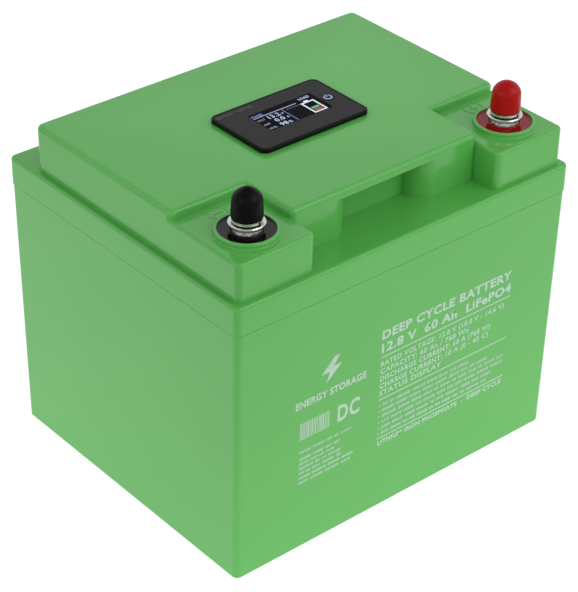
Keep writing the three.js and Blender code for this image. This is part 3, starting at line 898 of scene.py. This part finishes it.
class BATTERY_OT_caps(bpy.types.Operator):
    """Build the two soft rubber caps, which pull off their studs"""

    bl_idname = "battery.caps"
    bl_label = "Terminal caps"

    def cap(self, t, side, point, heading):
        """A sleeve with a rolled foot, a slight taper, a moulding line and a pointed round end."""
        low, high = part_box(side + "_cap")
        lip, line, tip = 0.5 * MM, 0.1 * MM, 6.45 * MM
        roof, start, steps = high.z - 2.6 * MM, high.z - tip, 18
        foot_in = arc((t.cap_bore + lip, low.z + lip), lip, 180, 270, 4)
        foot_out = arc((t.cap_foot - lip, low.z + lip), lip, 270, 360, 4)
        waist = [(t.cap_waist, start)]
        waist += [(t.cap_waist - line, start + 3 * line), (t.cap_waist - line, start + 5 * line)]
        dome = [
            (t.cap_waist * math.cos(a) ** point, start + tip * math.sin(a))
            for a in (math.radians(90 * i / steps) for i in range(2, steps))
        ]
        profile = [(0, roof), (t.cap_bore, roof), *foot_in, *foot_out, *waist, *dome, (0, high.z)]
        bm = turned(profile, (0, 0), 72)
        away = Vector((-math.sin(heading), math.cos(heading), 0))
        spot = middle(side + "_post")
        place = Matrix.Translation((spot.x, spot.y, low.z)) @ Matrix.Rotation(t.lean, 4, away)
        bmesh.ops.transform(bm, matrix=place @ Matrix.Translation((0, 0, -low.z)), verts=bm.verts)
        return bm

    def execute(self, context):
        t = context.scene.battery_terminal
        heading = context.scene.battery_stage.azimuth
        looks = ((black_rubber, "black_rubber", 1.5), (red_rubber, "red_rubber", 1.15))
        for (side, _), (skin, slot, point) in zip(SIDES, looks):
            node = side + "_cap"
            bm = self.cap(t, side, point, heading)
            piece(side + "_soft_cap", bm, skin(), body=node, stands_for=[node])
        return {"FINISHED"}


# ---- display -----------------------------------------------------------------------------------


class BATTERY_OT_display(bpy.types.Operator):
    """Build the display's bezel, face film, screen and what the screen shows"""

    bl_idname = "battery.display"
    bl_label = "Display"

    def button_hole(self, radius, steps):
        """A round cutter over the display's whole height, where the button stands."""
        low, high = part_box("display_housing")
        bottom, top = low.z - CLEAR, high.z + CLEAR
        profile = [(0, bottom), (radius, bottom), (radius, top), (0, top)]
        return turned(profile, middle("power_button"), steps)

    def bezel(self, d, low, high):
        """The rim round the film and, under it, the open box that drops through the lid."""
        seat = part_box("display_window")[1].z - 0.7 * MM
        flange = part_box("lid_cover")[1].z + 0.3 * MM
        ring = rounded_block((low.x, low.y, flange), high, d.corner, d.edge, 0.2 * MM, edge_steps=4)
        drop, rim, under = Vector((d.drop, d.drop, 0)), Vector((d.rim, d.rim, 0)), Vector((CLEAR, CLEAR, 0))
        box_high = Vector((high.x, high.y, flange + MM)) - drop
        tray_low = Vector((low.x, low.y, seat)) + rim
        tray_high = Vector((high.x, high.y, high.z + CLEAR)) - rim
        hollow_low = Vector((low.x, low.y, low.z - CLEAR)) + drop + rim
        hollow_high = Vector((high.x, high.y, flange)) - drop - rim
        screen_low, screen_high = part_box("lcd_panel")
        window_high = Vector((screen_high.x, screen_high.y, high.z + CLEAR)) + under
        return combined(
            ring,
            ("UNION", rounded_block(low + drop, box_high, 0.6 * MM)),
            ("DIFFERENCE", rounded_block(tray_low, tray_high, d.corner - d.rim)),
            ("DIFFERENCE", rounded_block(hollow_low, hollow_high, 0)),
            ("DIFFERENCE", rounded_block(screen_low - under, window_high, 0)),
            ("DIFFERENCE", self.button_hole(3.5 * MM, 48)),
        )

    def film(self, d, low, high):
        """The face film lies in the rim, with a window over the screen and a hole for the button."""
        base = rounded_block(low, high, d.corner - d.rim - d.play, 0.06 * MM, 0, edge_steps=2)
        screen_low, screen_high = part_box("lcd_panel")
        edge = Vector((d.glass, d.glass, 0))
        window_low = Vector((screen_low.x, screen_low.y, low.z - CLEAR)) + edge
        window_high = Vector((screen_high.x, screen_high.y, high.z + CLEAR)) - edge
        window = rounded_block(window_low, window_high, 0.5 * MM)
        return combined(base, ("DIFFERENCE", self.button_hole(3.35 * MM, 64)), ("DIFFERENCE", window))

    def marks(self, d):
        """The lit marks, each kind with its colour and strength; places are in millimetres."""
        t = d.line

        def bar(x0, x1, y0, y1):
            return strip(x0 * MM, x1 * MM, y0 * MM, y1 * MM, t)

        def figures(body, x0, x1, y0, y1):
            return lettering(body, x0 * MM, x1 * MM, y0 * MM, (y1 - y0) * MM, t, 0.012)

        title = figures("POWER", -18.6, -12.4, 4.4, 5.9)
        blue = [figures("13.2", -12.4, -6.0, -0.7, 2.3), figures("0.0", -11.6, -6.4, -4.6, -1.8)]
        blue += [figures("98", -12.0, -8.0, -8.9, -6.1), figures("V", -5.2, -4.0, -0.6, 1.0)]
        blue += [figures("A", -5.2, -4.0, -4.5, -3.0), figures("%", -7.4, -5.6, -8.8, -7.0)]
        blue += [figures("LOAD", 9.2, 15.4, 4.6, 6.4)]
        labels = [figures("VOLT", -18.6, -14.4, 0.1, 1.4), figures("AMP", -18.6, -15.0, -4.4, -3.1)]
        labels += [figures("LEVEL", -18.6, -14.2, -8.4, -7.1), bar(-18.7, 6.2, 3.3, 3.9)]
        dim = [bar(-3.1, -2.5, -9, 2.8)] + [bar(-0.8 + 1.7 * i, 0.2 + 1.7 * i, 1.3, 1.9) for i in range(5)]
        wide, left, right, foot, head = 0.9, 7.4, 15.0, -8.8, 1.9
        inside = rounded_block(
            ((left + wide) * MM, (foot + wide) * MM, -t), ((right - wide) * MM, (head - wide) * MM, 2 * t), 0
        )
        nub = bar(9.8, 12.4, head - wide / 2, head + 1.1)
        gauge = combined(bar(left, right, foot, head), ("DIFFERENCE", inside), ("UNION", nub))
        green = [bar(9.1, 13.3, -5.2, -3.6)]
        return {
            "blue": (blue, (0.55, 0.70, 1.0), 0.95),
            "title": ([title], (0.20, 0.36, 1.0), 0.8),
            "labels": (labels, (0.46, 0.44, 0.66), 0.75),
            "dim": (dim, (0.16, 0.20, 0.36), 0.6),
            "gauge": ([gauge], (0.80, 0.88, 1.0), 0.9),
            "green": (green, (0.10, 0.62, 0.16), 0.8),
            "red": ([bar(9.1, 13.3, -7.4, -5.8)], (0.62, 0.06, 0.05), 0.7),
        }

    def execute(self, context):
        d = context.scene.battery_display
        low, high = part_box("display_housing")
        bezel = self.bezel(d, low, high)
        piece("display_bezel", bezel, black_plastic(), stands_for=["display_housing"])
        edge, film_foot, film_top = d.rim + d.play, high.z - 0.6 * MM, high.z - 0.1 * MM
        film_low = Vector((low.x + edge, low.y + edge, film_foot))
        film = self.film(d, film_low, Vector((high.x - edge, high.y - edge, film_top)))
        piece("display_face", film, face_film(), stands_for=["display_window"])
        screen_low, screen_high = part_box("lcd_panel")
        glass_top, inset = film_top - 0.12 * MM, Vector((d.glass + d.play, d.glass + d.play, 0))
        panel_high = Vector((screen_high.x, screen_high.y, film_foot - d.play))
        glass_low = Vector((screen_low.x, screen_low.y, film_foot - MM)) + inset
        glass_high = Vector((screen_high.x, screen_high.y, glass_top)) - inset
        glass = rounded_block(glass_low, glass_high, 0.45 * MM, 0.05 * MM, edge_steps=2)
        screen = combined(rounded_block(screen_low, panel_high, 0.3 * MM), ("UNION", glass))
        piece("display_screen", screen, screen_glass(), stands_for=["lcd_panel"])
        place = Matrix.Translation((0, 0, glass_top))
        for name, (parts, tint, strength) in self.marks(d).items():
            glow = lit("lit " + name, tint, strength)
            piece("screen_" + name, gathered(parts, place), glow)
        note = lettering("BATTERY MONITOR", -31.4 * MM, -11 * MM, 13.0 * MM, 1.7 * MM, d.line)
        place = Matrix.Translation((0, 0, film_top))
        piece("display_caption", gathered([note], place), self.caption_ink())
        return {"FINISHED"}

    @staticmethod
    def caption_ink():
        """Dim grey ink on the face film."""
        s = Shader("face film print")
        worn = s.noise(1200, 2)
        return s.surface(s.mix(worn, (0.07, 0.07, 0.075), (0.10, 0.10, 0.105)), 0.4 + worn * 0.1)


class BATTERY_OT_power_button(bpy.types.Operator):
    """Build the button and its glowing power sign"""

    bl_idname = "battery.power_button"
    bl_label = "Power button"

    def execute(self, context):
        d = context.scene.battery_display
        low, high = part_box("power_button")
        spot, radius, edge = middle("power_button"), (high.x - low.x) / 2, 0.35 * MM
        crown, dish, stem, cap_foot = high.z - 0.05 * MM, 0.04 * MM, 1.5 * MM, high.z - 3.9 * MM
        rim = arc((radius - edge, crown - edge), edge, 0, 90, 6)
        profile = [(0, low.z), (stem, low.z), (stem, cap_foot), (radius, cap_foot), *rim]
        dished = [(0.82 * radius, crown), (0.79 * radius, crown - dish), (0, crown - dish)]
        bm = turned([*profile, *dished], spot, 64)
        body = "power_button"
        piece("button_cap", bm, black_plastic(), body=body, stands_for=["power_button"])
        ring = hoop((spot.x, spot.y), 2.05 * MM, 1.5 * MM, 125, 415, d.line)
        half, foot, head = 0.28 * MM, spot.y + 0.5 * MM, spot.y + 2.4 * MM
        bar = strip(spot.x - half, spot.x + half, foot, head, d.line)
        sign = gathered([ring, bar], Matrix.Translation((0, 0, crown - dish)))
        glow = lit("lit power sign", tuple(context.scene.battery_colours.glow), 0.75)
        piece("power_sign", sign, glow, body=body)
        inner, outer, top = 2.66 * MM, 2.82 * MM, crown + d.line
        halo = turned([(inner, crown), (outer, crown), (outer, top), (inner, top), (inner, crown)], spot, 64)
        piece("power_ring", halo, lit("dim power ring", (0.10, 0.13, 0.20), 0.5), body=body)
        return {"FINISHED"}


# ---- print -------------------------------------------------------------------------------------


class BATTERY_OT_front_print(bpy.types.Operator):
    """Print the front: an emblem, headings, ratings, rules, filler rows, bars and a sign"""

    bl_idname = "battery.front_print"
    bl_label = "Front print"

    def front(self, s):
        """Turns a drawing's plane, with x to the right and y up, onto the leaning front wall."""
        low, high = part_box("case_tub")
        slope = s.draft / (high.z - low.z)
        rows = ((1, 0, 0, 0), (0, -slope, -1, low.y + s.draft), (0, 1, -slope, 0), (0, 0, 0, 1))
        return Matrix(rows)

    def bar(self, x0, x1, y0, y1, ink):
        """A printed bar, given in millimetres."""
        return strip(x0 * MM, x1 * MM, y0 * MM, y1 * MM, ink)

    def words(self, x0, x1, y, height, ink):
        """A filler row, in millimetres: words of plain strokes, as print too small to read."""
        stem, spine, gap = 0.5, 0.22, 0.9
        parts = []
        x = x0
        while x < x1 - 1.5:
            end = min(x + 2.2 + 6.5 * draw_random(), x1)
            parts.append(self.bar(x, end, y - spine, y + spine, ink))
            while x < end:
                half = height * (0.36 + 0.18 * draw_random())
                parts.append(self.bar(x, x + stem, y - half, y + half, ink))
                x += 0.85 + 0.25 * draw_random()
            x += gap
        return parts

    def code_bars(self, x0, x1, y0, y1, ink):
        """A field of bars of chance widths, in millimetres, which encodes nothing."""
        parts = []
        x = x0
        while x < x1:
            wide = 0.25 + 0.45 * draw_random()
            parts.append(self.bar(x, x + wide, y0, y1, ink))
            x += wide + 0.3 + 0.3 * draw_random()
        return parts

    def emblem(self, ink):
        """A plain lightning bolt, in millimetres."""
        upper = [(-39.6, 99.4), (-42.6, 99.4), (-50.2, 92.0), (-45.3, 92.0)]
        lower = [(-47.2, 86.5), (-38.2, 94.4), (-43.2, 94.4)]
        return slab([(x * MM, y * MM) for x, y in upper + lower], 0, ink)

    def execute(self, context):
        s, p = context.scene.battery_shell, context.scene.battery_print
        ink, left, right = p.ink, -14.6, 67.0

        def line(text, x0, x1, base, height, bold=0.038):
            return lettering(text, x0 * MM, x1 * MM, base * MM, height * MM, ink, bold)

        headings = [line(p.heading, left, 66.6, 95.6, 4.8), line(p.rating, left, right, 88.3, 4.9)]
        rules = [self.bar(left, right, y, y + 0.6, ink) for y in (85.7, 62.1, 40.0)]
        ratings = [
            line(text, left, end, base, 2.9, 0.022)
            for text, end, base in (
                ("RATED VOLTAGE: 12.8 V (10.0 V - 14.6 V)", 63.2, 80.8),
                ("CAPACITY: 60 Ah / 768 Wh", 40.5, 76.7),
                ("DISCHARGE CURRENT: 60 A (768 W)", 55, 72.6),
                ("CHARGE CURRENT: 10 A (0 - 45 C)", 54, 68.5),
                ("STATUS DISPLAY", 24, 64.5),
            )
        ]
        seed_set(11)
        filler = []
        for y, end in ((58.9, 42), (55.8, 56), (52.6, 67.5), (49.4, 66.5), (46.1, 58.5), (42.9, 55.5)):
            filler.append(self.bar(-14.4, -13.3, y - 0.2, y + 0.3, ink))
            filler += self.words(-12.2, end, y, 1.9, ink)
        for y, end in (
            (54.9, -31), (51, -38), (48.4, -40), (45.8, -37.5), (43.1, -36.5), (40.4, -26.8), (37.7, -29.8)
        ):
            filler += self.words(-61.5, end, y, 1.6, ink)
        footer = line("LITHIUM IRON PHOSPHATE  -  DEEP CYCLE", -14, 66, 36.2, 2.6)
        maker = line(p.maker, -64.6, -23.2, 79.2, 3.8)
        bars = self.code_bars(-61.7, -44.6, 61.6, 70.9, ink)
        sign = line("DC", -39.6, -26.5, 61.7, 9.0, 0.03)
        place = self.front(s)
        for name, parts in (
            ("print_headings", headings + rules),
            ("print_ratings", [*ratings, footer]),
            ("print_filler", filler),
            ("print_emblem", [maker, self.emblem(ink)]),
            ("print_bars", [*bars, sign]),
        ):
            piece(name, gathered(parts, place), printed_ink())
        return {"FINISHED"}


# ---- finishes on the inner pieces --------------------------------------------------------------

# Part of a node's name, and the finish that it calls for; the first that fits is used.
INNER = (
    ("cell_cable", black_rubber),
    ("cell_separator", fibre_sheet),
    ("insulation_sheet", fibre_sheet),
    ("cell_", cell_film),
    ("_pad", foam),
    ("end_plate", rolled_aluminium),
    ("series_link", rolled_aluminium),
    ("heat_sink", rolled_aluminium),
    ("_lug", plated_metal),
    ("tap_screw", zinc_steel),
    ("post_nut", zinc_steel),
    ("_tap", rolled_aluminium),
    ("_band", zinc_steel),
    ("display_board", circuit_board),
    ("management_board", circuit_board),
    ("board_tray", black_plastic),
    ("balance_socket", black_plastic),
    ("lid_seal", sealant),
    ("positive_cable", red_rubber),
    ("_cable", black_rubber),
    ("harness", black_rubber),
    ("probe", black_rubber),
)


class BATTERY_OT_inner_finishes(bpy.types.Operator):
    """Give every carried-over inner piece its finish"""

    bl_idname = "battery.inner_finishes"
    bl_label = "Inner finishes"

    def execute(self, context):
        for name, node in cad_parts.items():
            makers = [make for part, make in INNER if part in name]
            if makers:
                for slot in node.material_slots:
                    slot.material = makers[0]()
        return {"FINISHED"}


# ---- stage -------------------------------------------------------------------------------------


class BATTERY_OT_stage(bpy.types.Operator):
    """Set the camera, the pale floor and the soft lights"""

    bl_idname = "battery.stage"
    bl_label = "Stage"

    def camera(self, s):
        """A long lens that looks at the middle of the battery, a little to the front and left."""
        target = Vector((-4.8, -7.2, 76.8)) * MM
        turn = (
            Matrix.Rotation(s.azimuth, 4, "Z")
            @ Matrix.Rotation(math.pi / 2 - s.elevation, 4, "X")
            @ Matrix.Rotation(s.roll, 4, "Z")
        )
        data = bpy.data.cameras.new("camera")
        data.lens = s.lens
        data.sensor_width = 36
        data.clip_start = 0.01
        made = bpy.data.objects.new("camera", data)
        made.matrix_world = Matrix.Translation(target) @ turn @ Matrix.Translation((0, 0, s.distance))
        bpy.context.scene.collection.objects.link(made)
        bpy.context.scene.camera = made

    def light(self, name, place, width, height, power):
        """A soft light that faces the battery."""
        aim = Vector((0, 0, 0.08))
        data = bpy.data.lights.new(name, "AREA")
        data.shape = "RECTANGLE"
        data.size, data.size_y = width, height
        data.energy = power
        made = bpy.data.objects.new(name, data)
        made.location = place
        made.rotation_euler = (aim - Vector(place)).to_track_quat("-Z", "Y").to_euler()
        bpy.context.scene.collection.objects.link(made)

    def room(self, s):
        """Walls lighter than the ceiling, as in a white tent with its top closed."""
        wall_end, ceiling_start = 0.5, 0.85
        world = bpy.data.worlds.new("soft room")
        shader = Shader(world, "Generated")
        height = shader.node("ShaderNodeSeparateXYZ", {}, {0: shader.place}, "Z")
        ends = {0: height, 1: wall_end, 2: ceiling_start, 3: 1.0, 4: s.ceiling}
        fade = shader.node("ShaderNodeMapRange", {"interpolation_type": "SMOOTHSTEP"}, ends)
        tint = shader.mix(fade, (0, 0, 0), (0.98, 0.985, 1.0))
        glow = shader.node("ShaderNodeBackground", {}, {"Color": tint, "Strength": s.room})
        shader.node("ShaderNodeOutputWorld", {}, {"Surface": glow})
        return world

    def floor(self, s):
        """A pale floor that glows round the battery and fades further off."""
        bm = bmesh.new()
        bmesh.ops.create_grid(bm, x_segments=1, y_segments=1, size=6)
        made = as_object(bm, "studio_floor")
        shader = Shader("studio floor")
        ends = {0: shader.place, 1: (0.134, 0.136, 0)}
        distance = shader.node("ShaderNodeVectorMath", {"operation": "DISTANCE"}, ends, "Value")
        glow = shader.mix(distance.above(0.47, 0.11), (1, 1, 1), (0.22, 0.22, 0.22))
        mottle = shader.mix(shader.noise(3, 2), (0.38, 0.38, 0.38), (0.40, 0.40, 0.40))
        named = {"Emission Color": glow, "Emission Strength": s.floor}
        made.data.materials.append(shader.surface(mottle, 0.9, **named))

    def execute(self, context):
        scene = context.scene
        s = scene.battery_stage
        scene.view_settings.view_transform = "Standard"
        self.camera(s)
        self.floor(s)
        scene.world = self.room(s)
        self.light("front softbox", (0.45, -1.1, 1.15), 0.9, 0.9, 4.6)
        self.light("left strip", (-1.15, -0.1, 0.55), 0.12, 1.0, 0.9)
        self.light("right strip", (0.95, -0.75, 0.6), 0.12, 1.0, 0.9)
        return {"FINISHED"}


class BATTERY_PT_panel(bpy.types.Panel):
    """The battery's build steps, in order"""

    bl_label = "Deep cycle battery"
    bl_idname = "BATTERY_PT_panel"
    bl_space_type = "VIEW_3D"
    bl_region_type = "UI"
    bl_category = "Battery"

    def draw(self, context):
        for operator in OPERATORS:
            self.layout.operator(operator.bl_idname)


OPERATORS = (
    BATTERY_OT_stage, BATTERY_OT_case_tub, BATTERY_OT_lid, BATTERY_OT_terminals, BATTERY_OT_caps,
    BATTERY_OT_display, BATTERY_OT_power_button, BATTERY_OT_front_print, BATTERY_OT_inner_finishes,
)


def register():
    for cls in (*GROUPS.values(), *OPERATORS, BATTERY_PT_panel):
        bpy.utils.register_class(cls)
    for name, group in GROUPS.items():
        setattr(bpy.types.Scene, name, PointerProperty(type=group))


def unregister():
    for name in GROUPS:
        delattr(bpy.types.Scene, name)
    for cls in reversed((*GROUPS.values(), *OPERATORS, BATTERY_PT_panel)):
        bpy.utils.unregister_class(cls)


def main():
    register()
    bpy.ops.battery.stage()
    bpy.ops.battery.case_tub()
    bpy.ops.battery.lid()
    bpy.ops.battery.terminals()
    bpy.ops.battery.caps()
    bpy.ops.battery.display()
    bpy.ops.battery.power_button()
    bpy.ops.battery.front_print()
    bpy.ops.battery.inner_finishes()


if __name__ == "__main__":
    main()
